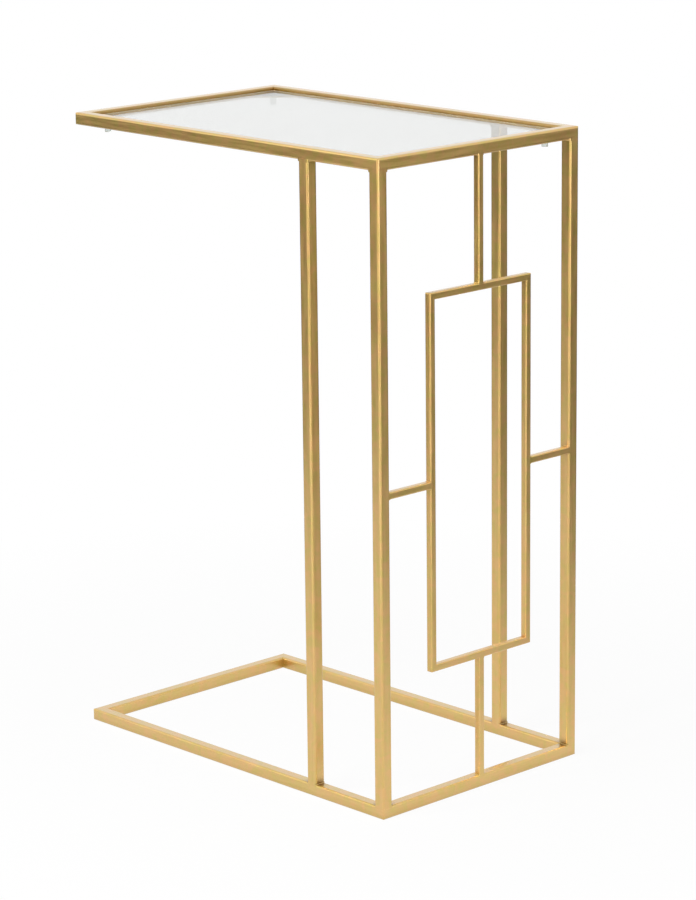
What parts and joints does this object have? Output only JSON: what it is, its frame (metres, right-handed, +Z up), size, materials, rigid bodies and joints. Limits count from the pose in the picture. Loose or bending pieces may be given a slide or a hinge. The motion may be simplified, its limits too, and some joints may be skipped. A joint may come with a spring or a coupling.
{
  "type": "C-shaped side table",
  "caption": "Tall C-shaped side table: gold-painted square tube frame, cantilevered top with an inset milky glass pane, and a decorative rectangle in its closed end.",
  "frame": {"origin": "on the floor, under the middle of the table's outline", "axes": "+X from the open, cantilevered end to the closed end with the panel, +Y from front to rear, +Z up"},
  "size_m": [0.449, 0.28, 0.66],
  "materials": {
    "gold_frame": "satin",
    "milky_glass": "polished",
    "clear_cup": "gloss"
  },
  "bodies": {
    "frame": {"top_front_rail": "gold_frame", "top_rear_rail": "gold_frame", "top_left_rail": "gold_frame", "top_right_rail": "gold_frame", "base_front_rail": "gold_frame", "base_rear_rail": "gold_frame", "base_left_rail": "gold_frame", "base_right_rail": "gold_frame", "front_mid_leg": "gold_frame", "rear_mid_leg": "gold_frame", "front_corner_leg": "gold_frame", "rear_corner_leg": "gold_frame", "panel_front_stile": "gold_frame", "panel_rear_stile": "gold_frame", "panel_top_bar": "gold_frame", "panel_bottom_bar": "gold_frame", "panel_upper_rod": "gold_frame", "panel_lower_rod": "gold_frame", "panel_front_stub": "gold_frame", "panel_rear_stub": "gold_frame", "left_front_gusset": "gold_frame", "right_front_gusset": "gold_frame", "left_rear_gusset": "gold_frame", "right_rear_gusset": "gold_frame", "left_front_cup": "clear_cup", "right_front_cup": "clear_cup", "left_rear_cup": "clear_cup", "right_rear_cup": "clear_cup"},
    "glass": {"glass_pane": "milky_glass"}
  },
  "joints": [
    {"name": "glass_lift", "type": "slide", "parent": "frame", "child": "glass", "axis": [0, 0, 1], "range_m": [0, 0.06]}
  ]
}
